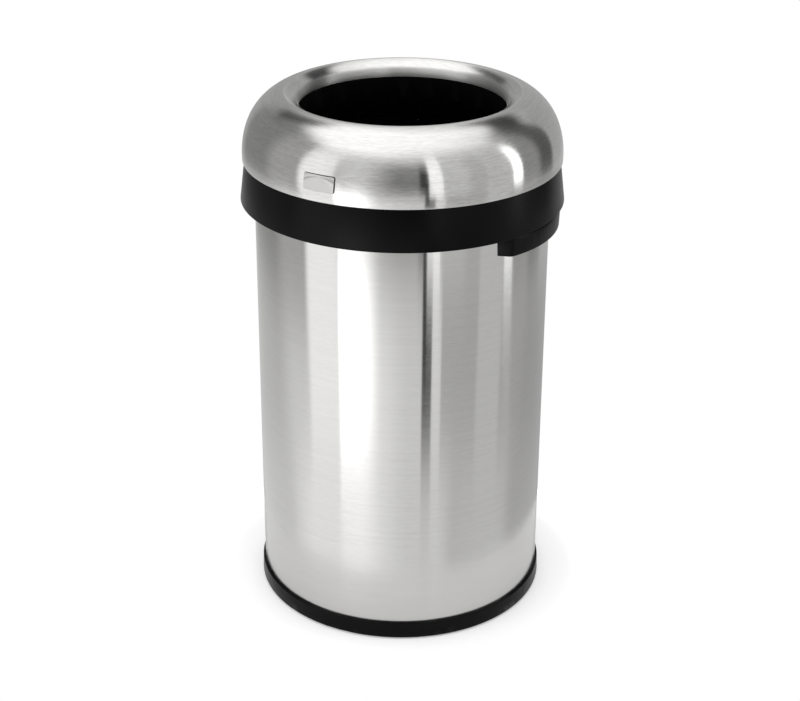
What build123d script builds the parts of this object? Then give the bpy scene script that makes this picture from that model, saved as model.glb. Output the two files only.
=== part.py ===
from build123d import *

import os
from math import acos, asin, cos, degrees, radians, sin, sqrt, tan

# An open-top trash can: a straight steel body on a moulded base ring, and a domed steel lid
# with a round opening that swings up on a hinge at the back. The origin is on the floor under
# the middle, +Z is up, and the front, with the badge plate, faces -Y. Millimetres.

# Clearances
seat_gap = 0.1  # between nested pieces of one body
press_gap = 0.05  # round a shank or pin that is held
running_gap = 0.08  # round the hinge pin, in the leaf that turns on it
rest_gap = 0.3  # between the closed lid and what it comes down on
hole_gap = 0.3  # round a screw in a through hole

# Body sheet
body_radius = 220.0
body_sheet = 0.8
body_length = 678.0

# Base ring
ring_stand = 1.5  # the pads hold the ring this high
flange_lift = 3.5  # from the ring's underside to its flange
flange_sheet = 3.0
base_lip = 4.4  # how far the ring stands out round the body
base_rise = 27.8  # the ring's upper edge over the floor
base_draft = 1.0
base_skirt = 3.0
base_flange_width = 34.0
base_rib = 2.0
base_ribs = 24
base_round = 4.0
base_edge = 1.5

# Floor pads
pads = 6
pad_radius = 14.0
pad_height = 4.0
pad_inset = 15.5  # from the body to the middle of a pad
pad_wall = 2.0
pad_round = 0.8

# Pressed floor
pan_sheet = 1.0
pan_rise = 12.0  # the floor over the body's lower edge
pan_well = 3.0  # depth of the pressed well
pan_well_inset = 50.0
pan_well_slope = 6.0
pan_bend = 4.0
pan_hem = 0.4  # the pan's edge over the flange

# Screws: a small one and a stout one
small_shank = 2.0
small_head = 4.0
stout_shank = 2.4
stout_head = 4.6
head_height = 2.6
socket_radius = 1.5
socket_depth = 1.5
head_round = 0.8
base_screw_inset = 17.5
nut_radius = 5.0
nut_height = 5.0
boss_wall = 4.0
slim_boss_wall = 3.0
head_wall = 2.0  # round a sunk screw head
nut_margin = 1.0  # the screw ends this far inside its nut

# Collar on the body's upper edge
collar_wall = 2.5
collar_lip = 2.5
collar_lip_depth = 14.0
collar_crown = 4.0
collar_depth = 105.0
collar_groove_gap = 0.3
collar_round = 2.0

# Lid band
band_overhang = 21.1  # the band's lower edge beyond the body
band_lean = 7.5  # how much smaller the band is at its top
band_height = 61.5
band_wall = 3.0
band_flange = 3.0
band_flange_inset = 17.0
band_shoulder = 6.6  # from the flange up to the shoulder that carries the dome
band_upstand = 2.4
band_upstand_rise = 7.9
band_edge = 0.8
gusset_sheet = 2.0
gusset_depth = 28.0
gusset_reach = 4.5
gussets = 24
hinge_clear_angle = 14.0  # no gusset this near the hinge

# Snap tabs that hold the dome's folded edge
tabs = 8
tab_width = 12.0
tab_reach = 2.0
tab_height = 3.5
tab_gap = 0.3

# Bumpers under the lid
bumpers = 6
bumper_radius = 5.0
bumper_height = 3.2
bumper_stem = 2.0

# Dome
dome_sheet = 0.8
dome_step = 3.3  # the dome's edge beyond the band's top
dome_fold = 5.5
dome_height = 99.0
dome_side_pull = 82.0
dome_side_lean = 2.5
dome_crest_pull = 9.9
opening_radius = 153.1
lip_width = 20.9
lip_drop = 24.0
lip_crest_pull = 2.0
lip_end_pull = 13.1
lip_end_lean = 6.7
pull_share = 0.8  # a curve's pulls shorten by this share of what it moves in, as an arc's do

# Liner under the dome
liner_wall = 2.5
liner_throat = 31.0
liner_hook_gap = 1.3
liner_hook_wall = 2.0
liner_hook_rise = 8.0
liner_flange_width = 23.5
lid_screws_count = 8
lid_screw_inset = 8.5
lid_screw_length = 11.5
lid_boss_height = 10.0

# Grips
split_gap = 2.0  # between the closed lid's band and the grips
grip_height = 28.0
grip_half_width = 88.0
grip_end_slant = 20.0
grip_inset = 1.5  # the grip's outermost point inside the band's lower edge
grip_bow = 195.0
grip_corner = 10.0
grip_draft = 2.0
grip_wall = 3.0
grip_edge = 1.2
grip_screw_spread = 66.0
grip_boss = 6.0
radial_screw_length = 15.0

# Hinge
pin_radius = 3.0
pin_offset = 10.6
pin_drop = 11.6  # the pin under the bracket's top
pin_head_radius = 4.5
pin_head_height = 2.0
pin_head_round = 0.7
pin_tail = 3.0
clip_radius = 5.5
clip_sheet = 1.2
clip_slot = 1.6
washer_radius = 6.0
washer_sheet = 1.0
knuckle_radius = 6.6
leaf_half_width = 36.0
leaf_sheet = 3.0
leaf_setback = 1.4  # the leaf's outer face behind the pin's axis
leaf_height = 62.0
leaf_corner = 8.0
leaf_screw_spread = 24.0
leaf_screw_low = 28.0  # over the pin
leaf_screw_high = 50.0
leaf_screw_length = 7.0
heel_reach = 9.8
heel_width = 20.0
lid_open_angle = 95.0
ear_width = 14.0
ear_inset = 1.6
ear_slope = 10.0  # height of the bevel at the ears' lower corner
ear_bevel = 7.5  # how far that bevel goes in
ear_root = 10.0  # how far the ears reach in behind the body's surface before it is cut
ear_edge = 1.0
plate_wall = 2.6
bracket_height = 43.6
bracket_screw_low = 8.0  # over the bracket's foot
bracket_screw_high = 22.0

# Badge plate, bare
badge_width = 48.0
badge_height = 22.0
badge_level = 27.7  # the middle of the plate over the band
badge_sheet = 1.0
badge_corner = 2.0
badge_pad_sheet = 0.8
glue_gap = 0.3  # between the dome and the pad
badge_pad_rim = 0.6

# Levels and radii that follow
body_foot = ring_stand + flange_lift + flange_sheet
body_top = body_foot + body_length
body_inner = body_radius - body_sheet
base_radius = body_radius + base_lip
base_inner = body_radius - base_flange_width
flange_underside = ring_stand + flange_lift
pan_radius = body_inner - seat_gap
pan_level = body_foot + pan_rise
collar_outer = body_inner - seat_gap
collar_inner = collar_outer - collar_wall
collar_top = body_top + collar_crown
collar_lip_inner = body_radius + seat_gap
collar_rim = collar_lip_inner + collar_lip
lid_flange_bottom = collar_top + rest_gap + bumper_height
lid_flange_top = lid_flange_bottom + band_flange
band_top = lid_flange_top + band_shoulder
band_bottom = band_top - band_height
band_foot_radius = body_radius + band_overhang
band_top_radius = band_foot_radius - band_lean
band_flange_inner = body_radius - band_flange_inset
upstand_radius = band_top_radius - band_wall
dome_edge = band_top_radius + dome_step
crest_level = band_top + dome_height
crest_radius = opening_radius + lip_width
lip_level = crest_level - lip_drop
grip_top = band_bottom - split_gap
grip_reach = band_foot_radius - grip_inset
grip_screw_level = grip_top - grip_height / 2
grip_screw_angle = degrees(asin(grip_screw_spread / body_radius))
pin_y = body_radius + pin_offset
pin_z = grip_top - pin_drop
leaf_outer_y = pin_y - leaf_setback
leaf_inner_y = leaf_outer_y - leaf_sheet
ear_inner = leaf_half_width + rest_gap + washer_sheet
ear_outer = ear_inner + ear_width
ear_middle = ear_inner + ear_width / 2
bracket_foot = grip_top - bracket_height
bracket_screw_angle = degrees(asin(ear_middle / body_radius))
plate_radius = body_radius + seat_gap + plate_wall


def outline(*points):
    """A closed outline of straight runs, from (radius, height) points beside the can's axis."""
    with BuildSketch(Plane.XZ) as drawn:
        with BuildLine():
            Polyline(*points, close=True)
        make_face()
    return drawn.sketch


def radial_plane(angle):
    """The upright plane through the can's axis at this angle: its x runs outwards, its y up."""
    turn = radians(angle)
    return Plane(origin=(0, 0, 0), x_dir=(cos(turn), sin(turn), 0), z_dir=(sin(turn), -cos(turn), 0))


def outward_spot(angle, radius, level):
    """A plane that faces straight out from the can's axis, for a screw through the wall."""
    turn = radians(angle)
    return Plane(
        origin=(radius * cos(turn), radius * sin(turn), level),
        x_dir=(-sin(turn), cos(turn), 0),
        z_dir=(cos(turn), sin(turn), 0),
    )


def socket_screw(shank, length, head):
    """A round-headed socket screw: its head bears on z = 0 from below, its shank points up."""
    with BuildPart() as screw:
        Cylinder(head, head_height, align=(Align.CENTER, Align.CENTER, Align.MAX))
        fillet(screw.edges().group_by(Axis.Z)[0], head_round)
        Cylinder(shank, length, align=(Align.CENTER, Align.CENTER, Align.MIN))
        with BuildSketch(Plane.XY.offset(-head_height)):
            RegularPolygon(socket_radius, 6)
        extrude(amount=socket_depth, mode=Mode.SUBTRACT)
    return screw.part


def band_outer(level):
    """Outer radius of the lid band at a level."""
    return band_foot_radius - band_lean * (level - band_bottom) / band_height


def heel_point(angle):
    """A point of the heel at this angle round the pin, as (y, z)."""
    return (pin_y + heel_reach * cos(radians(angle)), pin_z + heel_reach * sin(radians(angle)))


def dome_side(inset, foot):
    """The dome's side from its foot to its crest, this far inside its outer face."""
    return Bezier(
        (dome_edge - inset, foot),
        (dome_edge + dome_side_lean - inset, band_top + dome_side_pull - pull_share * inset),
        (crest_radius + dome_crest_pull - pull_share * inset, crest_level - inset),
        (crest_radius, crest_level - inset),
    )


def dome_lip(inset):
    """The roll from the crest down into the opening, this far inside its outer face."""
    return Bezier(
        (crest_radius, crest_level - inset),
        (crest_radius - lip_crest_pull, crest_level - inset),
        (opening_radius - lip_end_lean + inset, lip_level + lip_end_pull - pull_share * inset),
        (opening_radius + inset, lip_level),
    )


def dome_skin(near, far):
    """The outline of a layer outside the dome's side, from near to far off its outer face."""
    with BuildSketch(Plane.XZ) as layer:
        with BuildLine():
            near_side = dome_side(-near, band_top)
            far_side = dome_side(-far, band_top)
            Line(near_side @ 0, far_side @ 0)
            Line(near_side @ 1, far_side @ 1)
        make_face()
    return layer.sketch


def save(part, label):
    part.label = label
    export_step(part, f"parts/{label}.step")


# Places that several pieces share
screw_seat = collar_inner - seat_gap
grip_spots = [
    outward_spot(side + lean, screw_seat, grip_screw_level)
    for side in (0, 180)
    for lean in (-grip_screw_angle, grip_screw_angle)
]
bracket_spots = [
    outward_spot(90 + lean, screw_seat, bracket_foot + rise)
    for lean in (-bracket_screw_angle, bracket_screw_angle)
    for rise in (bracket_screw_low, bracket_screw_high)
]
wall_spots = grip_spots + bracket_spots
wall_depth = plate_radius - screw_seat
pad_circle = body_radius - pad_inset
base_screw_circle = body_radius - base_screw_inset
base_screw_start = 180 / pads
lid_screw_circle = band_flange_inner + lid_screw_inset
lid_screw_start = 180 / lid_screws_count
bumper_circle = (collar_inner + collar_rim) / 2
leaf_screw_spots = [
    (side * leaf_screw_spread, pin_z + level)
    for side in (-1, 1)
    for level in (leaf_screw_low, leaf_screw_high)
]
slim_boss_radius = small_shank + slim_boss_wall

# Body shell: a rolled sheet, with holes for the screws of the grips and the hinge bracket
with BuildPart() as body_shell:
    revolve(
        outline(
            (body_inner, body_foot),
            (body_radius, body_foot),
            (body_radius, body_top),
            (body_inner, body_top),
        ),
        axis=Axis.Z,
    )
    with Locations(*wall_spots):
        Cylinder(
            stout_shank + hole_gap,
            wall_depth,
            align=(Align.CENTER, Align.CENTER, Align.MIN),
            mode=Mode.SUBTRACT,
        )

# Bottom pan: the pressed floor, with its edge turned down inside the sheet
with BuildPart() as bottom_pan:
    with BuildSketch(Plane.XZ):
        with BuildLine():
            FilletPolyline(
                (0, pan_level - pan_well),
                (pan_radius - pan_well_inset - pan_well_slope, pan_level - pan_well),
                (pan_radius - pan_well_inset, pan_level),
                (pan_radius, pan_level),
                (pan_radius, body_foot + pan_hem),
                radius=pan_bend,
            )
            offset(amount=pan_sheet, side=Side.RIGHT)
        make_face()
    revolve(axis=Axis.Z)

# Base ring: the moulding round the foot, with a ribbed flange that the body stands on
with BuildPart() as base_ring:
    revolve(
        outline(
            (base_inner, ring_stand),
            (base_inner + base_skirt, ring_stand),
            (base_inner + base_skirt, flange_underside),
            (body_radius, flange_underside),
            (body_radius, ring_stand),
            (base_radius, ring_stand),
            (base_radius - base_draft, base_rise),
            (body_radius + seat_gap, base_rise),
            (body_radius + seat_gap, body_foot),
            (base_inner, body_foot),
        ),
        axis=Axis.Z,
    )
    fillet(base_ring.edges().filter_by(GeomType.CIRCLE).sort_by(SortBy.RADIUS)[-1], base_round)
    fillet(base_ring.edges().group_by(Axis.Z)[-1].sort_by(SortBy.RADIUS)[-1], base_edge)
    rib_length = body_radius - base_inner - base_skirt
    with PolarLocations(base_inner + base_skirt + rib_length / 2, base_ribs, 90 / base_ribs):
        with Locations((0, 0, ring_stand)):
            Box(
                rib_length + base_skirt / 2,
                base_rib,
                flange_lift,
                align=(Align.CENTER, Align.CENTER, Align.MIN),
            )
    with BuildSketch(Plane.XY.offset(ring_stand)):
        with PolarLocations(pad_circle, pads):
            Circle(pad_radius + seat_gap + pad_wall)
        with PolarLocations(base_screw_circle, pads, base_screw_start):
            Circle(small_head + head_wall)
    extrude(amount=flange_lift)
    with BuildSketch(Plane.XY.offset(ring_stand)):
        with PolarLocations(pad_circle, pads):
            Circle(pad_radius + seat_gap)
    extrude(amount=pad_height - ring_stand, mode=Mode.SUBTRACT)
    with BuildSketch(Plane.XY.offset(body_foot)):
        with PolarLocations(base_screw_circle, pads, base_screw_start):
            Circle(small_shank + boss_wall)
    extrude(amount=pan_rise - pan_sheet - nut_height - seat_gap)
    with BuildSketch(Plane.XY.offset(ring_stand)):
        with PolarLocations(base_screw_circle, pads, base_screw_start):
            Circle(small_head + seat_gap)
    extrude(amount=flange_lift, mode=Mode.SUBTRACT)
    with BuildSketch(Plane.XY.offset(ring_stand)):
        with PolarLocations(base_screw_circle, pads, base_screw_start):
            Circle(small_shank + hole_gap)
    extrude(amount=pan_level, mode=Mode.SUBTRACT)

# Floor pads: rubber buttons in the base ring's pockets
with BuildPart() as floor_pads:
    with PolarLocations(pad_circle, pads):
        Cylinder(pad_radius, pad_height, align=(Align.CENTER, Align.CENTER, Align.MIN))
    fillet(floor_pads.edges().group_by(Axis.Z)[0], pad_round)

# Nuts welded under the pan, and the screws that draw the base ring up to them
nut_level = pan_level - pan_sheet - nut_height
with BuildPart() as pan_nuts:
    with BuildSketch(Plane.XY.offset(nut_level)):
        with PolarLocations(base_screw_circle, pads, base_screw_start):
            RegularPolygon(nut_radius, 6)
            Circle(small_shank + press_gap, mode=Mode.SUBTRACT)
    extrude(amount=nut_height)

base_screw_length = nut_level + nut_height - nut_margin - flange_underside
base_screw = socket_screw(small_shank, base_screw_length, small_head)
with BuildPart() as base_screws:
    with Locations(Plane.XY.offset(flange_underside)):
        with PolarLocations(base_screw_circle, pads, base_screw_start):
            add(base_screw)

# Body collar: a moulded ring over the sheet's upper edge, with a sleeve down inside it
groove_top = body_top + collar_groove_gap
with BuildPart() as body_collar:
    revolve(
        outline(
            (collar_inner, collar_top - collar_depth),
            (collar_outer, collar_top - collar_depth),
            (collar_outer, groove_top),
            (collar_lip_inner, groove_top),
            (collar_lip_inner, collar_top - collar_lip_depth),
            (collar_rim, collar_top - collar_lip_depth),
            (collar_rim, collar_top),
            (collar_inner, collar_top),
        ),
        axis=Axis.Z,
    )
    fillet(body_collar.edges().group_by(Axis.Z)[-1], collar_round)
    with Locations(*wall_spots):
        Cylinder(stout_shank + hole_gap, 2 * wall_depth, mode=Mode.SUBTRACT)

# Grips: hollow lugs under the lid band, open below and behind for the fingers
with BuildPart() as grip_right:
    with BuildSketch(Plane.XY.offset(grip_top)) as grip_plan:
        with Locations((grip_reach - grip_bow, 0)):
            Circle(grip_bow)
        body_x = sqrt(body_radius**2 - grip_half_width**2)
        root_x = body_x - grip_corner
        root_y = grip_half_width + grip_corner * tan(radians(grip_end_slant))
        tip_y = grip_half_width - (grip_reach - body_x) * tan(radians(grip_end_slant))
        with BuildLine():
            Polyline(
                (root_x, -root_y),
                (grip_reach, -tip_y),
                (grip_reach, tip_y),
                (root_x, root_y),
                close=True,
            )
        make_face(mode=Mode.INTERSECT)
        fillet(grip_plan.vertices().group_by(Axis.X)[-1], grip_corner)
    extrude(amount=-grip_height, taper=grip_draft)
    grip_rim = grip_right.edges().group_by(Axis.Z)[0].sort_by(Axis.X)[1:]
    fillet(grip_rim, grip_edge)
    with BuildSketch(Plane.XY.offset(grip_top - grip_wall)):
        add(offset(grip_plan.sketch, amount=-grip_wall, mode=Mode.PRIVATE))
    extrude(amount=-grip_height, taper=grip_draft, mode=Mode.SUBTRACT)
    with Locations(*[spot.offset(body_radius - screw_seat) for spot in grip_spots[:2]]):
        Cylinder(
            grip_boss,
            radial_screw_length,
            align=(Align.CENTER, Align.CENTER, Align.MIN),
        )
    with Locations((0, 0, grip_top)):
        Cylinder(
            body_radius + seat_gap,
            3 * grip_height,
            mode=Mode.SUBTRACT,
        )
    with Locations(*grip_spots[:2]):
        Cylinder(
            stout_shank + press_gap,
            radial_screw_length + press_gap,
            align=(Align.CENTER, Align.CENTER, Align.MIN),
            mode=Mode.SUBTRACT,
        )

with BuildPart() as grip_left:
    mirror(grip_right.part, about=Plane.YZ)

wall_screw = socket_screw(stout_shank, radial_screw_length, stout_head)
with BuildPart() as grip_screws:
    with Locations(*grip_spots):
        add(wall_screw)

# Hinge bracket: a curved plate on the body with two ears that hold the pin
ear_reach = grip_reach - ear_inset
with BuildPart() as hinge_bracket:
    with BuildSketch(Plane.YZ):
        with BuildLine():
            Polyline(
                (body_radius - ear_root, bracket_foot),
                (ear_reach - ear_bevel, bracket_foot),
                (ear_reach, bracket_foot + ear_slope),
                (ear_reach, grip_top),
                (body_radius - ear_root, grip_top),
                close=True,
            )
        make_face()
    extrude(amount=ear_outer, both=True)
    with BuildSketch(Plane.XY.offset(grip_top)):
        Circle(ear_reach)
    extrude(amount=-bracket_height, mode=Mode.INTERSECT)
    fillet(hinge_bracket.edges().filter_by(Axis.Z).group_by(Axis.Y)[-1], ear_edge)
    with BuildSketch(Plane.XY.offset(grip_top)):
        with Locations((0, body_radius + ear_reach / 2)):
            Rectangle(2 * ear_inner, ear_reach)
        Circle(plate_radius, mode=Mode.SUBTRACT)
    extrude(amount=-bracket_height, mode=Mode.SUBTRACT)
    with BuildSketch(Plane.XY.offset(grip_top)):
        Circle(body_radius + seat_gap)
    extrude(amount=-bracket_height, mode=Mode.SUBTRACT)
    with Locations(Plane.YZ):
        with Locations((pin_y, pin_z)):
            Cylinder(pin_radius + press_gap, 2 * ear_outer, mode=Mode.SUBTRACT)
    with Locations(*bracket_spots):
        Cylinder(
            stout_shank + press_gap,
            radial_screw_length + press_gap,
            align=(Align.CENTER, Align.CENTER, Align.MIN),
            mode=Mode.SUBTRACT,
        )

with BuildPart() as bracket_screws:
    with Locations(*bracket_spots):
        add(wall_screw)

# Hinge pin, its clip, and the washers between the ears and the leaf
with BuildPart() as hinge_pin:
    with Locations(Plane.YZ.offset(-ear_outer)):
        with Locations((pin_y, pin_z)):
            Cylinder(
                pin_radius,
                2 * ear_outer + pin_tail,
                align=(Align.CENTER, Align.CENTER, Align.MIN),
            )
            Cylinder(
                pin_head_radius,
                pin_head_height,
                align=(Align.CENTER, Align.CENTER, Align.MAX),
            )
    fillet(hinge_pin.edges().group_by(Axis.X)[0], pin_head_round)

with BuildPart() as pin_clip:
    with BuildSketch(Plane.YZ.offset(ear_outer)):
        with Locations((pin_y, pin_z)):
            Circle(clip_radius)
            Circle(pin_radius + press_gap, mode=Mode.SUBTRACT)
        with Locations((pin_y, pin_z - clip_radius)):
            Rectangle(clip_slot, 2 * clip_radius, mode=Mode.SUBTRACT)
    extrude(amount=clip_sheet)

with BuildPart() as hinge_washers:
    for inner_face in (-ear_inner, ear_inner - washer_sheet):
        with BuildSketch(Plane.YZ.offset(inner_face)):
            with Locations((pin_y, pin_z)):
                Circle(washer_radius)
                Circle(pin_radius + press_gap, mode=Mode.SUBTRACT)
        extrude(amount=washer_sheet)

# Hinge leaf: a plate up inside the lid band, a knuckle round the pin, and a heel that meets
# the bracket's plate when the lid is open
heel_stop = degrees(acos((pin_y - plate_radius - rest_gap) / heel_reach)) - 180
heel_tip = heel_stop + lid_open_angle
with BuildPart() as hinge_leaf:
    with BuildSketch(Plane.back.offset(leaf_inner_y)) as leaf_plan:
        with Locations((0, pin_z + leaf_height / 2)):
            Rectangle(2 * leaf_half_width, leaf_height)
        fillet(leaf_plan.vertices().group_by(Axis.Z)[-1], leaf_corner)
    extrude(amount=leaf_sheet)
    with Locations(Plane.YZ):
        with Locations((pin_y, pin_z)):
            Cylinder(knuckle_radius, 2 * leaf_half_width)
    with BuildSketch(Plane.YZ):
        with BuildLine():
            Polyline((pin_y, pin_z), heel_point(heel_tip), heel_point(heel_tip + heel_width), close=True)
        make_face()
    extrude(amount=leaf_half_width, both=True)
    with Locations(Plane.YZ):
        with Locations((pin_y, pin_z)):
            Cylinder(pin_radius + running_gap, 3 * leaf_half_width, mode=Mode.SUBTRACT)
    with Locations(Plane.back.offset(leaf_inner_y)):
        with Locations(*leaf_screw_spots):
            Cylinder(small_shank + hole_gap, 3 * leaf_sheet, mode=Mode.SUBTRACT)

leaf_screw = socket_screw(small_shank, leaf_screw_length, small_head)
with BuildPart() as leaf_screws:
    with Locations(Plane.back.offset(leaf_inner_y)):
        with Locations(*leaf_screw_spots):
            add(leaf_screw)

# Lid band: the moulded skirt, with an inner flange over the collar and a shoulder for the dome
flange_wall_radius = band_outer(lid_flange_bottom) - band_wall
gusset_angles = [
    step * 360 / gussets
    for step in range(gussets)
    if abs(step * 360 / gussets - 90) > hinge_clear_angle
]
with BuildPart() as lid_band:
    revolve(
        outline(
            (band_foot_radius, band_bottom),
            (band_top_radius, band_top),
            (upstand_radius, band_top),
            (upstand_radius, band_top + band_upstand_rise),
            (upstand_radius - band_upstand, band_top + band_upstand_rise),
            (upstand_radius - band_upstand, lid_flange_top),
            (band_flange_inner, lid_flange_top),
            (band_flange_inner, lid_flange_bottom),
            (flange_wall_radius, lid_flange_bottom),
            (band_foot_radius - band_wall, band_bottom),
        ),
        axis=Axis.Z,
    )
    fillet(lid_band.edges().group_by(Axis.Z)[0], band_edge)
    for angle in gusset_angles:
        with BuildSketch(radial_plane(angle)):
            with BuildLine():
                Polyline(
                    (flange_wall_radius - gusset_reach, lid_flange_bottom),
                    (flange_wall_radius + band_wall / 2, lid_flange_bottom),
                    (
                        band_outer(lid_flange_bottom - gusset_depth) - band_wall / 2,
                        lid_flange_bottom - gusset_depth,
                    ),
                    close=True,
                )
            make_face()
        extrude(amount=gusset_sheet / 2, both=True)
    for step in range(tabs):
        with BuildSketch(radial_plane(step * 360 / tabs)):
            tab_foot = band_top + dome_sheet + tab_gap
            with BuildLine():
                Polyline(
                    (upstand_radius - band_upstand / 2, tab_foot),
                    (upstand_radius + tab_reach, tab_foot),
                    (upstand_radius - band_upstand / 2, tab_foot + tab_height),
                    close=True,
                )
            make_face()
        extrude(amount=tab_width / 2, both=True)
    for across, level in leaf_screw_spots:
        boss_end = sqrt((band_outer(level) - band_wall / 2) ** 2 - across**2)
        with BuildSketch(Plane.back.offset(leaf_outer_y)):
            with Locations((across, level)):
                Circle(slim_boss_radius)
        extrude(amount=boss_end - leaf_outer_y)
    with Locations(Plane.back.offset(leaf_inner_y)):
        with Locations(*leaf_screw_spots):
            Cylinder(
                small_shank + press_gap,
                leaf_screw_length + press_gap,
                align=(Align.CENTER, Align.CENTER, Align.MIN),
                mode=Mode.SUBTRACT,
            )
    with BuildSketch(Plane.XY.offset(lid_flange_bottom)):
        with PolarLocations(lid_screw_circle, lid_screws_count, lid_screw_start):
            Circle(small_shank + hole_gap)
        with PolarLocations(bumper_circle, bumpers):
            Circle(bumper_stem + press_gap)
    extrude(amount=band_flange, mode=Mode.SUBTRACT)

# Dome shell: a thin steel pressing, folded in at its edge and rolled over into the opening
fold_inner = dome_edge - dome_fold
with BuildPart() as dome_shell:
    with BuildSketch(Plane.XZ):
        with BuildLine():
            outer_side = dome_side(0, band_top)
            outer_lip = dome_lip(0)
            inner_side = dome_side(dome_sheet, band_top + dome_sheet)
            inner_lip = dome_lip(dome_sheet)
            Line(outer_lip @ 1, inner_lip @ 1)
            Polyline(
                outer_side @ 0,
                (fold_inner, band_top),
                (fold_inner, band_top + dome_sheet),
                inner_side @ 0,
            )
        make_face()
    revolve(axis=Axis.Z)

# Lid liner: the moulded throat and cone under the dome, hooked behind its rolled lip
liner_top = lip_level - rest_gap - dome_sheet / 2
throat_radius = opening_radius + rest_gap
throat_end = liner_top - liner_throat
hook_radius = throat_radius + dome_sheet + liner_hook_gap
cone_skew = liner_wall * (sqrt(2) - 1)
with BuildPart() as lid_liner:
    revolve(
        outline(
            (throat_radius, liner_top),
            (hook_radius, liner_top),
            (hook_radius, liner_top + liner_hook_rise),
            (hook_radius + liner_hook_wall, liner_top + liner_hook_rise),
            (throat_radius + liner_wall, liner_top - liner_hook_rise),
            (throat_radius + liner_wall, throat_end + cone_skew),
            (band_flange_inner + cone_skew, lid_flange_top + liner_wall),
            (band_flange_inner + liner_flange_width, lid_flange_top + liner_wall),
            (band_flange_inner + liner_flange_width, lid_flange_top),
            (band_flange_inner, lid_flange_top),
            (throat_radius, throat_end),
        ),
        axis=Axis.Z,
    )
    with BuildSketch(Plane.XY.offset(lid_flange_top)):
        with PolarLocations(lid_screw_circle, lid_screws_count, lid_screw_start):
            Circle(slim_boss_radius)
    extrude(amount=lid_boss_height)
    with BuildSketch(Plane.XY.offset(lid_flange_top)):
        with PolarLocations(lid_screw_circle, lid_screws_count, lid_screw_start):
            Circle(small_shank + press_gap)
    extrude(amount=lid_screw_length - band_flange + press_gap, mode=Mode.SUBTRACT)

lid_screw = socket_screw(small_shank, lid_screw_length, small_head)
with BuildPart() as lid_screws:
    with Locations(Plane.XY.offset(lid_flange_bottom)):
        with PolarLocations(lid_screw_circle, lid_screws_count, lid_screw_start):
            add(lid_screw)

# Lid bumpers: rubber buttons that come down on the collar
with BuildPart() as lid_bumpers:
    with Locations(Plane.XY.offset(lid_flange_bottom)):
        with PolarLocations(bumper_circle, bumpers):
            Cylinder(bumper_radius, bumper_height, align=(Align.CENTER, Align.CENTER, Align.MAX))
            Cylinder(bumper_stem, band_flange, align=(Align.CENTER, Align.CENTER, Align.MIN))

# Badge plate, bare, and the pad that it is stuck on with; both follow the dome
badge_middle = band_top + badge_level
pad_face = glue_gap + badge_pad_sheet
plate_back = pad_face + seat_gap
with BuildPart() as badge_plate:
    revolve(dome_skin(plate_back, plate_back + badge_sheet), axis=Axis.Z)
    with BuildSketch(Plane.XZ):
        with Locations((0, badge_middle)):
            RectangleRounded(badge_width, badge_height, badge_corner)
    extrude(amount=2 * body_radius, mode=Mode.INTERSECT)

with BuildPart() as badge_pad:
    revolve(dome_skin(glue_gap, pad_face), axis=Axis.Z)
    with BuildSketch(Plane.XZ):
        with Locations((0, badge_middle)):
            RectangleRounded(
                badge_width + 2 * badge_pad_rim,
                badge_height + 2 * badge_pad_rim,
                badge_corner + badge_pad_rim,
            )
    extrude(amount=2 * body_radius, mode=Mode.INTERSECT)

# Every piece goes to a file of its own
os.makedirs("parts", exist_ok=True)
save(body_shell.part, "body_shell")
save(bottom_pan.part, "bottom_pan")
save(base_ring.part, "base_ring")
save(floor_pads.part, "floor_pads")
save(pan_nuts.part, "pan_nuts")
save(base_screws.part, "base_screws")
save(body_collar.part, "body_collar")
save(grip_right.part, "grip_right")
save(grip_left.part, "grip_left")
save(grip_screws.part, "grip_screws")
save(hinge_bracket.part, "hinge_bracket")
save(bracket_screws.part, "bracket_screws")
save(hinge_pin.part, "hinge_pin")
save(pin_clip.part, "pin_clip")
save(hinge_washers.part, "hinge_washers")
save(hinge_leaf.part, "hinge_leaf")
save(leaf_screws.part, "leaf_screws")
save(lid_band.part, "lid_band")
save(dome_shell.part, "dome_shell")
save(lid_liner.part, "lid_liner")
save(lid_screws.part, "lid_screws")
save(lid_bumpers.part, "lid_bumpers")
save(badge_plate.part, "badge_plate")
save(badge_pad.part, "badge_pad")
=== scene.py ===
import math

import bpy
from bpy.props import FloatProperty, FloatVectorProperty, PointerProperty
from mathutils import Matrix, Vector
from mathutils.geometry import interpolate_bezier


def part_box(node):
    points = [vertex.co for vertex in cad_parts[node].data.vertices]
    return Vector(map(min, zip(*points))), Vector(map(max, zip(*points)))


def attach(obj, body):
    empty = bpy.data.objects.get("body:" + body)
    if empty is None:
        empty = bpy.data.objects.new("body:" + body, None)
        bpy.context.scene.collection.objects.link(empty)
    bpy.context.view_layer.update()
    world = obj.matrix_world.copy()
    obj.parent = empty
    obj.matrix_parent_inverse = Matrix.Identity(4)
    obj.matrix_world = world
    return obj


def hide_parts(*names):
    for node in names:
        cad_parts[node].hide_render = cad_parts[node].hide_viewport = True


bl_info = {
    "name": "Open-top trash can",
    "version": (1, 0, 0),
    "blender": (4, 5, 0),
    "location": "3D View > Sidebar > Trash can",
    "description": "Dresses the packed trash can: steel body and domed lid, black mouldings, hinge",
    "category": "Object",
}

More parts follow.
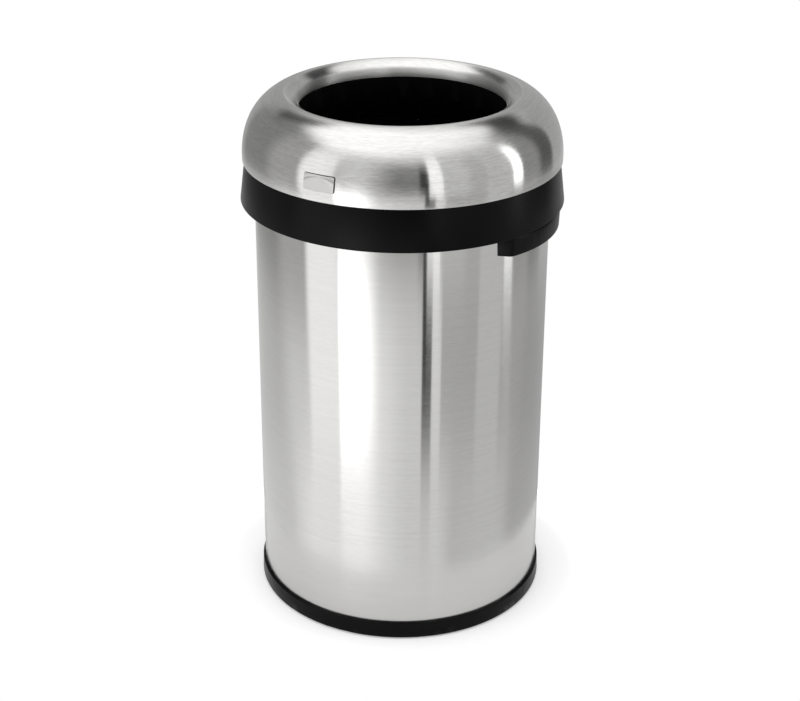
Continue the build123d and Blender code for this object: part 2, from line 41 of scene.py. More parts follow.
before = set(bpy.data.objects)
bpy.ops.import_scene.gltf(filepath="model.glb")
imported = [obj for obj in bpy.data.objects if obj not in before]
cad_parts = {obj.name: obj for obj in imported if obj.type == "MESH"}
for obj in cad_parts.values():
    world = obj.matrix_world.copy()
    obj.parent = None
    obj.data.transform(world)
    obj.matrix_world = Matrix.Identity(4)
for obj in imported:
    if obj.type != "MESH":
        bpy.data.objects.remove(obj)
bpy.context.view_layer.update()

TAU = 2 * math.pi
ROUND_STEPS = 256  # facets round the can
SHARP = math.radians(32)  # edges above this angle stay sharp
GUSSETS = 24  # places for them round the band
HINGE_CLEAR = 14  # no gusset within these degrees of the hinge
SNAP_TABS = 8


def node_radius(node):
    """How far a node of the frame reaches from the can's axis."""
    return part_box(node)[1].x


def node_foot(node):
    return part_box(node)[0].z


def node_top(node):
    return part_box(node)[1].z


# Sizes and finishes that a user would change


class CanSizes(bpy.types.PropertyGroup):
    """The sizes of the dressed pieces, in metres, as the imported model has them"""

    body_radius: FloatProperty(
        name="Body radius",
        description="Outer radius of the steel body",
        default=node_radius("body_shell"),
        unit="LENGTH",
    )
    body_foot: FloatProperty(
        name="Body foot",
        description="Level of the body's lower edge",
        default=node_foot("body_shell"),
        unit="LENGTH",
    )
    body_top: FloatProperty(
        name="Body top",
        description="Level of the body's upper edge, under the collar",
        default=node_top("body_shell"),
        unit="LENGTH",
    )
    sheet: FloatProperty(
        name="Sheet", description="Thickness of the steel sheet", default=0.0008, unit="LENGTH"
    )
    band_radius: FloatProperty(
        name="Band radius",
        description="Outer radius of the lid band at its lower edge, before that is rounded",
        default=0.2411,
        unit="LENGTH",
    )
    band_lean: FloatProperty(
        name="Band lean",
        description="How much smaller the band is at its top",
        default=0.0075,
        unit="LENGTH",
    )
    band_foot: FloatProperty(
        name="Band foot",
        description="Level of the band's lower edge",
        default=node_foot("lid_band"),
        unit="LENGTH",
    )
    dome_edge: FloatProperty(
        name="Dome edge",
        description="Outer radius of the dome at its foot, before that is rounded",
        default=0.2369,
        unit="LENGTH",
    )
    dome_foot: FloatProperty(
        name="Dome foot",
        description="Level where the dome sits on the band",
        default=node_foot("dome_shell"),
        unit="LENGTH",
    )
    dome_top: FloatProperty(
        name="Dome top",
        description="Level of the dome's crest",
        default=node_top("dome_shell"),
        unit="LENGTH",
    )
    mouth_radius: FloatProperty(
        name="Mouth radius",
        description="Radius of the open mouth inside the rolled lip",
        default=0.1531,
        unit="LENGTH",
    )


class CanFinish(bpy.types.PropertyGroup):
    """The colours of the dressed pieces"""

    steel: FloatVectorProperty(
        name="Steel",
        description="Colour of the brushed sheet",
        subtype="COLOR",
        default=(0.64, 0.635, 0.625),
        min=0,
        max=1,
    )
    # The collar and the liner get this colour darkened to 0.4, which is painted shade.
    black: FloatVectorProperty(
        name="Black moulding",
        description="Colour of the band, grips, collar, liner and base ring",
        subtype="COLOR",
        default=(0.0011, 0.0011, 0.00115),
        min=0,
        max=1,
    )
    rubber: FloatVectorProperty(
        name="Rubber",
        description="Colour of the pads and bumpers",
        subtype="COLOR",
        default=(0.022, 0.022, 0.022),
        min=0,
        max=1,
    )
    nylon: FloatVectorProperty(
        name="Nylon",
        description="Colour of the hinge washers",
        subtype="COLOR",
        default=(0.72, 0.71, 0.67),
        min=0,
        max=1,
    )
    floor: FloatVectorProperty(
        name="Floor",
        description="Colour of the floor",
        subtype="COLOR",
        default=(0.9, 0.9, 0.9),
        min=0,
        max=1,
    )


# Shader sums as plain expressions


class Wire:
    """An output socket of a node tree, for sums written as expressions."""

    def __init__(self, paint, socket):
        self.paint = paint
        self.socket = socket

    def sum(self, operation, first, second):
        return self.paint.node("ShaderNodeMath", {"operation": operation}, first, second)

    def __add__(self, other):
        return self.sum("ADD", self, other)

    def __radd__(self, other):
        return self.sum("ADD", other, self)

    def __sub__(self, other):
        return self.sum("SUBTRACT", self, other)

    def __rsub__(self, other):
        return self.sum("SUBTRACT", other, self)

    def __mul__(self, other):
        return self.sum("MULTIPLY", self, other)

    def __rmul__(self, other):
        return self.sum("MULTIPLY", other, self)


class Paint:
    """A node tree that is filled from its start to its output."""

    def __init__(self, tree):
        self.tree = tree
        tree.nodes.clear()

    def put(self, socket, value):
        if isinstance(value, Wire):
            self.tree.links.new(value.socket, socket)
        elif hasattr(socket, "default_value"):
            socket.default_value = value

    def node(self, kind, settings, *values, out=0, **named):
        """Makes one node: its settings first, then its sockets by order or by name."""
        made = self.tree.nodes.new(kind)
        for setting, value in settings.items():
            setattr(made, setting, value)
        for socket, value in zip(made.inputs, values):
            self.put(socket, value)
        for socket, value in named.items():
            self.put(made.inputs[socket.replace("_", " ")], value)
        return Wire(self, made.outputs[out]) if made.outputs else None

    def smooth(self, value, low, high):
        """0 below low, 1 above high, and a soft step between."""
        settings = {"interpolation_type": "SMOOTHSTEP"}
        return self.node(
            "ShaderNodeMapRange", settings, Value=value, From_Min=low, From_Max=high
        )

    def place(self):
        """The object's own coordinates."""
        return self.node("ShaderNodeTexCoord", {}, out=3)

    def stretched(self, scale):
        settings = {"operation": "MULTIPLY"}
        return self.node("ShaderNodeVectorMath", settings, self.place(), scale)

    def noise(self, vector, scale, detail=2.0):
        return self.node(
            "ShaderNodeTexNoise", {}, Vector=vector, Scale=scale, Detail=detail
        )

    def mix_colour(self, share, first, second):
        made = self.tree.nodes.new("ShaderNodeMix")
        made.data_type = "RGBA"
        self.put(made.inputs[0], share)
        self.put(made.inputs[6], first)
        self.put(made.inputs[7], second)
        return Wire(self, made.outputs[2])

    def bump(self, height, strength, distance):
        return self.node(
            "ShaderNodeBump", {}, Strength=strength, Distance=distance, Height=height
        )


def tone(colour, share):
    """A colour, lighter or darker, with its alpha."""
    return (*[channel * share for channel in colour], 1.0)


def new_material(name):
    material = bpy.data.materials.new(name)
    material.use_nodes = True
    return material, Paint(material.node_tree)


def surface(paint, normal, roughness, colour, **fixed):
    """A Principled shader: wires for what varies, and plain numbers on its own sockets."""
    shader = paint.node("ShaderNodeBsdfPrincipled", {}, Base_Color=colour, Roughness=roughness)
    made = shader.socket.node
    for socket, value in fixed.items():
        made.inputs[socket.replace("_", " ")].default_value = value
    paint.put(made.inputs["Normal"], normal)
    paint.node("ShaderNodeOutputMaterial", {}, shader)


def brushed_steel(name, colour, roughness, grain, depth, contrast, lip):
    """Sheet brushed round the can: fine lines at one level and radius, and a slow cloudiness.

    Where a lip radius is given, the sheet is duller on the rolled lip inside it.
    """
    material, paint = new_material(name)
    place = paint.place()
    split = paint.node("ShaderNodeSeparateXYZ", {}, place)
    level = Wire(paint, split.socket.node.outputs[2])
    flat = paint.stretched((1.0, 1.0, 0.0))
    radius = paint.node("ShaderNodeVectorMath", {"operation": "LENGTH"}, flat, out=1)

    def lines(along, across):
        vector = paint.stretched((along, along, across))
        return paint.node(
            "ShaderNodeTexNoise",
            {"noise_dimensions": "4D"},
            Vector=vector,
            W=radius * across,
            Scale=1.0,
            Detail=2.0,
        )

    fine = lines(90.0, grain)
    broad = lines(7.0, grain * 0.3)
    cloud = paint.noise(place, 3.0)
    mixed = fine * 0.6 + broad * 0.4
    shade = paint.smooth(mixed, 0.3, 0.7)
    tinted = paint.mix_colour(shade, tone(colour, 1 - contrast), tone(colour, 1 + contrast))
    rough = roughness + (fine - 0.5) * 0.06 + (cloud - 0.5) * 0.03
    if lip:
        rough = rough + 0.3 * (1.0 - paint.smooth(radius, lip - 0.02, lip - 0.014))
    normal = paint.bump(mixed, depth, 0.0002)
    surface(
        paint,
        normal,
        rough,
        tinted,
        Metallic=1.0,
        Anisotropic=1.0,
        Anisotropic_Rotation=0.25,
    )
    return material


def plain_steel(name, colour, roughness):
    """Satin steel of screws, pin and pan: turned or pressed, with a faint scatter."""
    material, paint = new_material(name)
    place = paint.place()
    scatter = paint.noise(place, 900.0)
    cloud = paint.noise(place, 35.0)
    tinted = paint.mix_colour(cloud, tone(colour, 0.85), tone(colour, 1.1))
    rough = roughness + (scatter - 0.5) * 0.15
    surface(paint, paint.bump(scatter, 0.1, 0.0001), rough, tinted, Metallic=1.0)
    return material


def moulding(name, colour, roughness, grain, depth, gloss):
    """Plastic or rubber with the fine pebbled grain of a spark-eroded mould."""
    material, paint = new_material(name)
    place = paint.place()
    pebble = paint.noise(place, grain, 3.0)
    patch = paint.noise(place, 14.0)
    tinted = paint.mix_colour(patch, tone(colour, 0.8), tone(colour, 1.25))
    rough = roughness + (pebble - 0.5) * 0.2 + (patch - 0.5) * 0.06
    surface(
        paint,
        paint.bump(pebble, depth, 0.0003),
        rough,
        tinted,
        Specular_IOR_Level=gloss,
    )
    return material


def coated_steel(name, colour, roughness):
    """Black powder coat with a slight orange peel."""
    material, paint = new_material(name)
    place = paint.place()
    peel = paint.noise(place, 260.0)
    fleck = paint.noise(place, 1400.0, 1.0)
    tinted = paint.mix_colour(fleck, tone(colour, 0.8), tone(colour, 1.3))
    rough = roughness + (fleck - 0.5) * 0.12
    surface(paint, paint.bump(peel, 0.25, 0.0003), rough, tinted)
    return material


# Modelling


def close_up(piece):
    """Welds a finished mesh, turns its faces outwards and shades it."""
    bpy.ops.mesh.select_all(action="SELECT")
    bpy.ops.mesh.remove_doubles(threshold=0.000005)
    bpy.ops.mesh.normals_make_consistent(inside=False)
    bpy.ops.object.mode_set(mode="OBJECT")
    bpy.ops.object.shade_smooth_by_angle(angle=SHARP)
    return piece


def begin(name):
    """Names the primitive just added, settles it at the origin and opens it for editing."""
    piece = bpy.context.object
    piece.name = name
    piece.data.name = name
    bpy.ops.object.transform_apply(location=True, rotation=True, scale=True)
    bpy.ops.object.mode_set(mode="EDIT")
    bpy.ops.mesh.select_all(action="SELECT")
    return piece


def alone(piece):
    """Makes a piece the only one selected, and the active one."""
    bpy.ops.object.select_all(action="DESELECT")
    piece.select_set(True)
    bpy.context.view_layer.objects.active = piece


def lathe(name, outline):
    """Draws a ring out along a closed outline of (radius, level) points round the can's axis."""
    bpy.ops.object.select_all(action="DESELECT")
    radius, level = outline[0]
    bpy.ops.mesh.primitive_circle_add(
        vertices=ROUND_STEPS, radius=radius, location=(0, 0, level)
    )
    piece = begin(name)
    for next_radius, next_level in outline[1:] + outline[:1]:
        rise = (0, 0, next_level - level)
        grow = next_radius / radius
        bpy.ops.mesh.extrude_edges_move(TRANSFORM_OT_translate={"value": rise})
        bpy.ops.transform.resize(value=(grow, grow, 1), center_override=(0, 0, 0))
        radius, level = next_radius, next_level
    return close_up(piece)


def rounded(corners, steps=5):
    """The (radius, level) points of an outline, with an arc where a corner gives a third number."""
    points = []
    for index, (radius, level, *bend) in enumerate(corners):
        here = Vector((radius, level))
        if not bend:
            points.append((radius, level))
            continue
        back = (Vector(corners[index - 1][:2]) - here).normalized()
        ahead = (Vector(corners[(index + 1) % len(corners)][:2]) - here).normalized()
        half = back.angle(ahead) / 2
        centre = here + (back + ahead).normalized() * bend[0] / math.sin(half)
        reach = bend[0] / math.tan(half)
        first = here + back * reach - centre
        last = here + ahead * reach - centre
        turn = math.pi - 2 * half
        for step in range(steps + 1):
            share = step / steps
            ray = first * math.sin((1 - share) * turn) + last * math.sin(share * turn)
            points.append(tuple(centre + ray / math.sin(turn)))
    return points


def curve(points, steps):
    """The (radius, level) points along a curve with two pulls."""
    spots = [Vector((radius, 0, level)) for radius, level in points]
    return [(spot.x, spot.z) for spot in interpolate_bezier(*spots, steps)]


def finish(piece, body, slot, material, *nodes):
    """Gives a piece its material, its body and the nodes that it stands for."""
    piece.data.materials.clear()
    piece.data.materials.append(material)
    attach(piece, body)
    if nodes:
        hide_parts(*nodes)


def modify(piece, kind, **settings):
    """Adds a modifier and applies it."""
    alone(piece)
    bpy.ops.object.modifier_add(type=kind)
    modifier = piece.modifiers[-1]
    for setting, value in settings.items():
        setattr(modifier, setting, value)
    bpy.ops.object.modifier_apply(modifier=modifier.name)


def refined(node, name, bevel, limit):
    """A merged copy of a node, its edges broken by a small bevel and its curves smooth."""
    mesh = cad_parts[node].data.copy()
    piece = bpy.data.objects.new(name, mesh)
    bpy.context.scene.collection.objects.link(piece)
    mesh.name = name
    alone(piece)
    bpy.ops.object.mode_set(mode="EDIT")
    bpy.ops.mesh.select_all(action="SELECT")
    bpy.ops.mesh.remove_doubles(threshold=0.000002)
    bpy.ops.mesh.dissolve_limited(angle_limit=math.radians(0.5))
    bpy.ops.object.mode_set(mode="OBJECT")
    if bevel:
        modify(
            piece,
            "BEVEL",
            width=bevel,
            segments=2,
            limit_method="ANGLE",
            angle_limit=math.radians(limit),
        )
    bpy.ops.object.shade_smooth_by_angle(angle=SHARP)
    return piece


def spun(piece, angles):
    """Makes copies of a piece turned round the can's axis, and deletes the piece itself."""
    copies = []
    for angle in angles:
        alone(piece)
        bpy.ops.object.duplicate()
        twin = bpy.context.object
        twin.rotation_euler.z = angle
        bpy.ops.object.transform_apply(location=False, rotation=True, scale=False)
        copies.append(twin)
    alone(piece)
    bpy.ops.object.delete()
    return copies


def join(piece, others):
    """Joins other pieces into one."""
    alone(piece)
    for other in others:
        other.select_set(True)
    bpy.ops.object.join()


def materials():
    """The finishes by name, made once."""
    finish_of = bpy.context.scene.can_finish
    if "body_steel" in bpy.data.materials:
        return bpy.data.materials
    steel, black = finish_of.steel, finish_of.black
    crest_radius = 0.174  # where the dome turns down into its lip
    for name, roughness, grain, depth, contrast, lip in (
        ("body_steel", 0.13, 700.0, 0.05, 0.028, 0.0),
        ("dome_steel", 0.155, 560.0, 0.15, 0.09, crest_radius),
        ("badge_steel", 0.42, 1500.0, 0.05, 0.02, 0.0),
    ):
        brushed_steel(name, steel, roughness, grain, depth, contrast, lip)
    for name, colour, roughness, grain, depth, gloss in (
        ("satin_black", black, 0.28, 1500.0, 0.18, 0.11),
        # The liner's and the collar's black is the same black at 0.4 of its colour, which is
        # painted shade for inside the mouth and under the band. It is also a rougher, less glossy
        # moulding.
        ("dull_black", [0.4 * channel for channel in black], 0.7, 1100.0, 0.4, 0.1),
        ("soft_rubber", finish_of.rubber, 0.75, 700.0, 0.5, 0.3),
        ("pale_nylon", finish_of.nylon, 0.4, 900.0, 0.1, 0.5),
    ):
        moulding(name, colour, roughness, grain, depth, gloss)
    plain_steel("screw_steel", (0.5, 0.5, 0.5), roughness=0.32)
    coated_steel("coated_steel", (0.02, 0.02, 0.021), roughness=0.42)
    return bpy.data.materials


# Operators, one for each piece or group of like pieces


class CAN_OT_body(bpy.types.Operator):
    """Makes the straight steel body"""

    bl_idname = "can.body"
    bl_label = "Steel body"

    def execute(self, context):
        sizes = context.scene.can_sizes
        outer = sizes.body_radius
        inner = outer - sizes.sheet
        edge = sizes.sheet * 0.4
        outline = rounded(
            [
                (inner, sizes.body_foot, edge),
                (outer, sizes.body_foot, edge),
                (outer, sizes.body_top, edge),
                (inner, sizes.body_top, edge),
            ],
            3,
        )
        piece = lathe("body_sheet", outline)
        finish(piece, "can", "brushed_sheet", materials()["body_steel"], "body_shell")
        return {"FINISHED"}


class CAN_OT_dome(bpy.types.Operator):
    """Makes the steel dome with its folded foot and its lip rolled into the mouth"""

    bl_idname = "can.dome"
    bl_label = "Steel dome"

    def execute(self, context):
        sizes = context.scene.can_sizes
        edge, foot, top = sizes.dome_edge, sizes.dome_foot, sizes.dome_top
        sheet = sizes.sheet
        lip_width, lip_drop, fold_width = 0.0209, 0.024, 0.0055
        crest = sizes.mouth_radius + lip_width
        lip = top - lip_drop
        fold = edge - fold_width
        swell, shoulder, crown = 0.0025, 0.082, 0.0099  # the pulls that shape the side
        tuck, turn_in, turn_rise = 0.002, 0.0067, 0.0131  # and those of the rolled lip
        thinning = 0.8  # how much of the sheet's thickness the inner pulls follow

        def side(inset, start):
            return curve(
                [
                    (edge - inset, start),
                    (edge + swell - inset, foot + shoulder - thinning * inset),
                    (crest + crown - thinning * inset, top - inset),
                    (crest, top - inset),
                ],
                40,
            )

        def roll(inset):
            return curve(
                [
                    (crest, top - inset),
                    (crest - tuck, top - inset),
                    (sizes.mouth_radius - turn_in + inset, lip + turn_rise - thinning * inset),
                    (sizes.mouth_radius + inset, lip),
                ],
                24,
            )

        foot_corner = rounded([(fold, foot), (edge, foot, 0.0009), (edge, foot + 0.02)])[1:-1]
        outer = side(0, foot)[2:] + roll(0)[1:]
        inner = side(sheet, foot + sheet) + roll(sheet)[1:]
        outline = [(fold, foot)] + foot_corner + outer + inner[::-1] + [(fold, foot + sheet)]
        piece = lathe("dome_sheet", outline)
        finish(piece, "lid", "brushed_sheet", materials()["dome_steel"], "dome_shell")
        return {"FINISHED"}


class CAN_OT_band(bpy.types.Operator):
    """Makes the black band under the dome, with its gussets and snap tabs"""

    bl_idname = "can.band"
    bl_label = "Lid band"

    def execute(self, context):
        sizes = context.scene.can_sizes
        foot, top = sizes.band_foot, sizes.dome_foot
        low = sizes.band_radius
        high = low - sizes.band_lean
        wall, flange = 0.003, 0.003
        flange_drop = 0.0066  # from the band's top to its flange
        upstand, upstand_wall = 0.0079, 0.0024  # the rim that the snap tabs stand on
        flange_reach = 0.017  # how far the flange comes in over the body's edge
        flange_top = top - flange_drop
        flange_foot = flange_top - flange
        lean = sizes.band_lean / (top - foot)
        inside = low - lean * (flange_foot - foot) - wall
        ledge = high - wall
        outline = rounded(
            [
                (low, foot, 0.0009),
                (high, top, 0.0006),
                (ledge, top, 0.0004),
                (ledge, top + upstand, 0.0006),
                (ledge - upstand_wall, top + upstand, 0.0006),
                (ledge - upstand_wall, flange_top, 0.0006),
                (sizes.body_radius - flange_reach, flange_top, 0.0006),
                (sizes.body_radius - flange_reach, flange_foot, 0.0006),
                (inside, flange_foot, 0.0008),
                (low - wall, foot, 0.0006),
            ]
        )
        piece = lathe("band_moulding", outline)

        # One gusset under the flange: a thin block whose inner lower edge is drawn to the wall
        depth, reach, thick = 0.028, 0.006, 0.002
        middle = (inside - reach / 2 + 0.0015, 0, flange_foot - depth / 2)
        bpy.ops.object.select_all(action="DESELECT")
        bpy.ops.mesh.primitive_cube_add(size=1, location=middle, scale=(reach, thick, depth))
        gusset = begin("gusset")
        bpy.ops.mesh.select_all(action="DESELECT")
        bpy.ops.object.mode_set(mode="OBJECT")
        for vertex in gusset.data.vertices:
            vertex.select = vertex.co.z < middle[2] and vertex.co.x < middle[0]
        bpy.ops.object.mode_set(mode="EDIT")
        bpy.ops.transform.translate(value=(reach * 0.85, 0, 0))
        close_up(gusset)
        modify(gusset, "BEVEL", width=0.0003, segments=2, limit_method="NONE")
        turns = [360 / GUSSETS * step for step in range(GUSSETS)]
        angles = [math.radians(turn) for turn in turns if abs(turn - 90) > HINGE_CLEAR]
        join(piece, spun(gusset, angles))

        # One snap tab over the dome's folded foot: a wedge on the upstand
        tab_foot = top + sizes.sheet + 0.0003
        middle = (ledge + 0.0004, 0, tab_foot + 0.00175)
        bpy.ops.object.select_all(action="DESELECT")
        bpy.ops.mesh.primitive_cube_add(
            size=1, location=middle, scale=(0.0032, 0.012, 0.0035)
        )
        tab = begin("tab")
        bpy.ops.mesh.select_all(action="DESELECT")
        bpy.ops.object.mode_set(mode="OBJECT")
        for vertex in tab.data.vertices:
            vertex.select = vertex.co.z > middle[2] and vertex.co.x > middle[0]
        bpy.ops.object.mode_set(mode="EDIT")
        bpy.ops.transform.translate(value=(-0.0026, 0, 0))
        close_up(tab)
        join(piece, spun(tab, [TAU * step / SNAP_TABS for step in range(SNAP_TABS)]))
        bpy.ops.object.shade_smooth_by_angle(angle=SHARP)
        finish(piece, "lid", "black_moulding", materials()["satin_black"], "lid_band")
        return {"FINISHED"}


class CAN_OT_base(bpy.types.Operator):
    """Makes the black ring round the foot, with its flange and ribs"""

    bl_idname = "can.base"
    bl_label = "Base ring"

    def execute(self, context):
        piece = refined("base_ring", "base_moulding", 0.0004, 50)
        finish(piece, "can", "black_moulding", materials()["satin_black"], "base_ring")
        return {"FINISHED"}


class CAN_OT_collar(bpy.types.Operator):
    """Makes the collar over the body's upper edge"""

    bl_idname = "can.collar"
    bl_label = "Body collar"

    def execute(self, context):
        piece = refined("body_collar", "collar_moulding", 0.0004, 50)
        # The collar takes the darker black: painted shade under the band.
        finish(piece, "can", "black_moulding", materials()["dull_black"], "body_collar")
        return {"FINISHED"}


class CAN_OT_liner(bpy.types.Operator):
    """Makes the black throat under the dome's mouth"""

    bl_idname = "can.liner"
    bl_label = "Lid liner"

    def execute(self, context):
        piece = refined("lid_liner", "liner_moulding", 0.0004, 50)
        # The liner takes the darker black: painted shade inside the mouth.
        finish(piece, "lid", "black_moulding", materials()["dull_black"], "lid_liner")
        return {"FINISHED"}


class CAN_OT_grips(bpy.types.Operator):
    """Makes the two hollow grips under the band"""

    bl_idname = "can.grips"
    bl_label = "Grips"

    def execute(self, context):
        for node in ("grip_right", "grip_left"):
            piece = refined(node, node + "_moulding", 0.0005, 50)
            finish(piece, "can", "black_moulding", materials()["satin_black"], node)
        return {"FINISHED"}


class CAN_OT_badge(bpy.types.Operator):
    """Makes the bare plate on the dome's front and the pad under it"""

    bl_idname = "can.badge"
    bl_label = "Badge plate"

    def execute(self, context):
        for node, material in (("badge_plate", "badge_steel"), ("badge_pad", "soft_rubber")):
            piece = refined(node, node + "_trim", 0.00025, 40)
            modify(piece, "WEIGHTED_NORMAL", keep_sharp=True, weight=100)
            slot = "brushed_sheet" if node == "badge_plate" else "black_rubber"
            finish(piece, "lid", slot, materials()[material], node)
        return {"FINISHED"}


class CAN_OT_hinge(bpy.types.Operator):
    """Makes the hinge: bracket, leaf, pin, clip and washers"""

    bl_idname = "can.hinge"
    bl_label = "Hinge"

    def execute(self, context):
        for node, body, slot, material, bevel in (
            ("hinge_bracket", "can", "black_moulding", "satin_black", 0.0006),
            ("hinge_leaf", "lid", "dark_steel", "coated_steel", 0.0003),
            ("hinge_pin", "can", "plain_steel", "screw_steel", 0.0002),
            ("pin_clip", "can", "plain_steel", "screw_steel", 0.0001),
            ("hinge_washers", "can", "white_nylon", "pale_nylon", 0.0001),
        ):
            piece = refined(node, node + "_part", bevel, 50)
            finish(piece, body, slot, materials()[material], node)
        return {"FINISHED"}


class CAN_OT_small_parts(bpy.types.Operator):
    """Makes the pressed floor, the screws and nuts, the pads and the bumpers"""

    bl_idname = "can.small_parts"
    bl_label = "Floor, screws, pads and bumpers"

    def execute(self, context):
        for node, body, slot, material, bevel in (
            ("bottom_pan", "can", "plain_steel", "screw_steel", 0.0),
            ("pan_nuts", "can", "plain_steel", "screw_steel", 0.0002),
            ("base_screws", "can", "plain_steel", "screw_steel", 0.00015),
            ("grip_screws", "can", "plain_steel", "screw_steel", 0.00015),
            ("bracket_screws", "can", "plain_steel", "screw_steel", 0.00015),
            ("leaf_screws", "lid", "plain_steel", "screw_steel", 0.00015),
            ("lid_screws", "lid", "plain_steel", "screw_steel", 0.00015),
            ("floor_pads", "can", "black_rubber", "soft_rubber", 0.0002),
            ("lid_bumpers", "lid", "black_rubber", "soft_rubber", 0.0003),
        ):
            piece = refined(node, node + "_set", bevel, 50)
            finish(piece, body, slot, materials()[material], node)
        return {"FINISHED"}


# The stage: floor, studio light and camera

WHITE = (1, 1, 1, 1)
FLOOR_RADIUS = 0.345
CAMERA_AZIMUTH = 29.0  # from the front, towards +X
CAMERA_DISTANCE = 2.4555  # from the can's axis
CAMERA_HEIGHT = 1.5246
CAMERA_DIP = 24.53  # degrees below level
CAMERA_TURN = 0.0141  # radians off the can's axis

# Soft panels and dark gaps round the can, by azimuth from the camera and height in degrees:
# left, right, softness at each side, foot, top, softness at each, and brightness.
# A later one covers those before it.
PANELS = (
    (-170, -10, 25, 30, 50, 88, 12, 2, 1.55),
    (-180, -142, 5, 6, -19, 32, 4, 9, 0.42),
    (-152, -78, 6, 5, -19, 47, 4, 7, 0.29),
    (-108, -78, 9, 4, -19, 42, 4, 9, 0.47),
    (-158, -138, 4, 5, 28, 52, 5, 5, 0.10),
    (-175, -78, 8, 6, -60, -19, 5, 4, 0.66),
    (-104, -78, 12, 3, -60, -19, 5, 4, 0.88),
    (-77, -49, 3, 2, -60, 42, 5, 12, 1.24),
    (-36, 17, 10, 2, -60, -12, 5, 3, 1.15),
    (-6, 19, 14, 2, -60, -12, 5, 3, 0.88),
    (-49, -24, 1.2, 10, -60, -9, 5, 5, 2.60),
    (-46, 18, 14, 3, -8, 46, 3, 9, 0.80),
    (-17, 18, 16, 2, -9, 36, 4, 10, 0.24),
    (12.0, 18.4, 1.5, 0.3, -9, 30, 4, 10, 0.0),
    (15.9, 23.4, 0.3, 0.3, -60, -10, 5, 2, 0.0),
    (18.6, 28.5, 0.4, 0.5, -12, 48, 2, 10, 1.42),
    (23.5, 30.9, 0.3, 0.4, -60, -14, 5, 2, 0.90),
    (28.5, 50, 0.5, 4.0, -12, 46, 2, 12, 0.72),
    (30.9, 61, 0.5, 1.0, -60, -12, 5, 2, 0.51),
    (48, 61, 4.0, 1.0, -12, 42, 2, 12, 0.58),
    (61, 83, 0.8, 1.2, -60, 40, 5, 12, 0.66),
    (83, 92, 0.7, 0.7, -12, 34, 3, 8, 2.4),
    (84, 110, 1, 4, -60, -19, 5, 3, 0.48),
    (92, 128, 1, 3, -16, 50, 3, 7, 0.34),
    (112, 132, 5, 4, -16, 50, 3, 7, 0.12),
    (108, 178, 6, 5, -60, -19, 5, 3, 0.44),
    (132, 176, 5, 5, -16, 32, 3, 8, 0.46),
    (128, 164, 5, 5, 34, 51, 5, 4, 0.06),
    (-190, -95, 5, 15, -70, -29, 1, 3.5, 0.80),
    (-95, 0, 15, 25, -70, -29, 1, 3.5, 1.10),
    (-50, -24, 4, 10, -70, -29, 1, 3.5, 1.22),
    (-8, 45, 20, 12, -70, -29, 1, 3.5, 0.85),
    (45, 105, 12, 14, -70, -29, 1, 3.5, 0.70),
    (105, 190, 14, 5, -70, -29, 1, 3.5, 0.54),
)


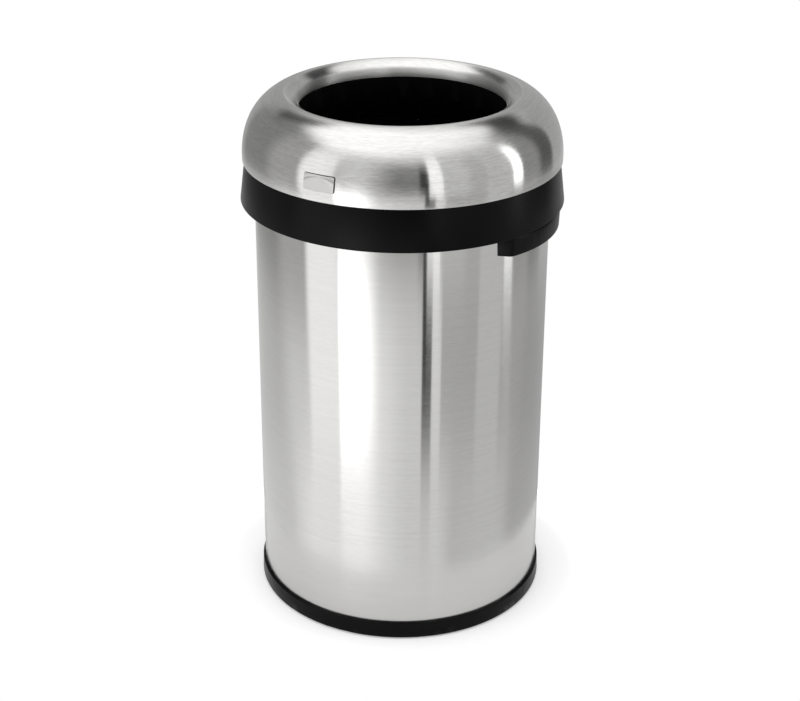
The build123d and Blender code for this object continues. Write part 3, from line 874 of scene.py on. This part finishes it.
class CAN_OT_stage(bpy.types.Operator):
    """Sets the floor, the light round the can and the camera"""

    bl_idname = "can.stage"
    bl_label = "Floor, light and camera"

    def execute(self, context):
        scene = context.scene
        self.floor(scene.can_finish.floor)
        self.light(scene)
        self.camera(scene)
        scene.view_settings.view_transform = "Standard"
        return {"FINISHED"}

    def floor(self, colour):
        """A round white floor that keeps the can's shadow and ends in white at its rim."""
        bpy.ops.object.select_all(action="DESELECT")
        bpy.ops.mesh.primitive_circle_add(vertices=128, radius=FLOOR_RADIUS, fill_type="NGON")
        floor = begin("floor")
        bpy.ops.mesh.inset(thickness=0.1, depth=0)
        bpy.ops.object.mode_set(mode="OBJECT")
        material, paint = new_material("white_floor")
        path = paint.node("ShaderNodeLightPath", {})
        outputs = path.socket.node.outputs
        camera, glossy, through = [
            Wire(paint, outputs[name])
            for name in ("Is Camera Ray", "Is Glossy Ray", "Is Transmission Ray")
        ]
        cloud = paint.noise(paint.place(), 2.0)
        tinted = paint.mix_colour(cloud, tone(colour, 0.99), tone(colour, 1.01))
        matte = paint.node("ShaderNodeBsdfDiffuse", {}, Color=tinted)
        flat = paint.stretched((1.0, 1.0, 0.0))
        radius = paint.node("ShaderNodeVectorMath", {"operation": "LENGTH"}, flat, out=1)
        shown = 0.32 + 0.5 * paint.smooth(radius, FLOOR_RADIUS - 0.075, FLOOR_RADIUS - 0.01)
        strength = camera * shown + (glossy + through) * 0.12
        glow = paint.node("ShaderNodeEmission", {}, Color=WHITE, Strength=strength)
        paint.node(
            "ShaderNodeOutputMaterial", {}, paint.node("ShaderNodeAddShader", {}, matte, glow)
        )
        floor.data.materials.append(material)

    def light(self, scene):
        """Soft panels all round and a broad one overhead, painted on the world."""
        scene.world = scene.world or bpy.data.worlds.new("studio")
        scene.world.use_nodes = True
        paint = Paint(scene.world.node_tree)
        toward = paint.node("ShaderNodeTexCoord", {}, out=0)
        turned = paint.node(
            "ShaderNodeVectorRotate",
            {"rotation_type": "Z_AXIS"},
            Vector=toward,
            Angle=-math.radians(CAMERA_AZIMUTH),
        )
        split = paint.node("ShaderNodeSeparateXYZ", {}, turned)
        outputs = split.socket.node.outputs
        x, y, z = [Wire(paint, outputs[n]) for n in range(3)]
        math_node = "ShaderNodeMath"
        azimuth = paint.node(math_node, {"operation": "ARCTAN2"}, x, 0.0 - y) * math.degrees(1)
        height = paint.node(math_node, {"operation": "ARCSINE"}, z) * math.degrees(1)
        low_light, overhead = 0.62, 1.54
        strength = low_light + (overhead - low_light) * paint.smooth(height, 20.0, 84.0)
        for left, right, soft_left, soft_right, foot, top, soft_foot, soft_top, bright in PANELS:
            mask = (
                paint.smooth(azimuth, left - soft_left, left + soft_left)
                * (1.0 - paint.smooth(azimuth, right - soft_right, right + soft_right))
                * paint.smooth(height, foot - soft_foot, foot + soft_foot)
                * (1.0 - paint.smooth(height, top - soft_top, top + soft_top))
            )
            strength = strength + mask * (bright - strength)
        path = paint.node("ShaderNodeLightPath", {})
        camera = Wire(paint, path.socket.node.outputs["Is Camera Ray"])
        strength = strength + camera * (1.0 - strength)
        shown = paint.node("ShaderNodeBackground", {}, Color=WHITE, Strength=strength)
        paint.node("ShaderNodeOutputWorld", {}, shown)

    def camera(self, scene):
        """A long lens at head height, as the photograph was taken."""
        lens = bpy.data.cameras.new("camera")
        lens.sensor_width = 36.0
        lens.lens = 78.28
        lens.shift_x = 0.0262
        lens.shift_y = -0.0152
        camera = bpy.data.objects.new("camera", lens)
        scene.collection.objects.link(camera)
        azimuth = math.radians(CAMERA_AZIMUTH)
        camera.location = (
            CAMERA_DISTANCE * math.sin(azimuth),
            -CAMERA_DISTANCE * math.cos(azimuth),
            CAMERA_HEIGHT,
        )
        camera.rotation_euler = (math.radians(90 - CAMERA_DIP), 0, azimuth + CAMERA_TURN)
        scene.camera = camera


STEPS = (
    CAN_OT_stage,
    CAN_OT_body,
    CAN_OT_dome,
    CAN_OT_band,
    CAN_OT_base,
    CAN_OT_collar,
    CAN_OT_liner,
    CAN_OT_grips,
    CAN_OT_badge,
    CAN_OT_hinge,
    CAN_OT_small_parts,
)


class CAN_PT_panel(bpy.types.Panel):
    """Lists the trash can's sizes, colours and steps"""

    bl_idname = "CAN_PT_panel"
    bl_label = "Trash can"
    bl_space_type = "VIEW_3D"
    bl_region_type = "UI"
    bl_category = "Trash can"

    def draw(self, context):
        for group in (context.scene.can_sizes, context.scene.can_finish):
            column = self.layout.column()
            for setting in group.bl_rna.properties.keys():
                if setting not in ("rna_type", "name"):
                    column.prop(group, setting)
        for step in STEPS:
            self.layout.operator(step.bl_idname)


CLASSES = (CanSizes, CanFinish, *STEPS, CAN_PT_panel)


def register():
    for kind in CLASSES:
        bpy.utils.register_class(kind)
    bpy.types.Scene.can_sizes = PointerProperty(type=CanSizes)
    bpy.types.Scene.can_finish = PointerProperty(type=CanFinish)


def unregister():
    del bpy.types.Scene.can_finish
    del bpy.types.Scene.can_sizes
    for kind in reversed(CLASSES):
        bpy.utils.unregister_class(kind)


def main():
    register()
    for step in STEPS:
        family, name = step.bl_idname.split(".")
        getattr(getattr(bpy.ops, family), name)()


if __name__ == "__main__":
    main()
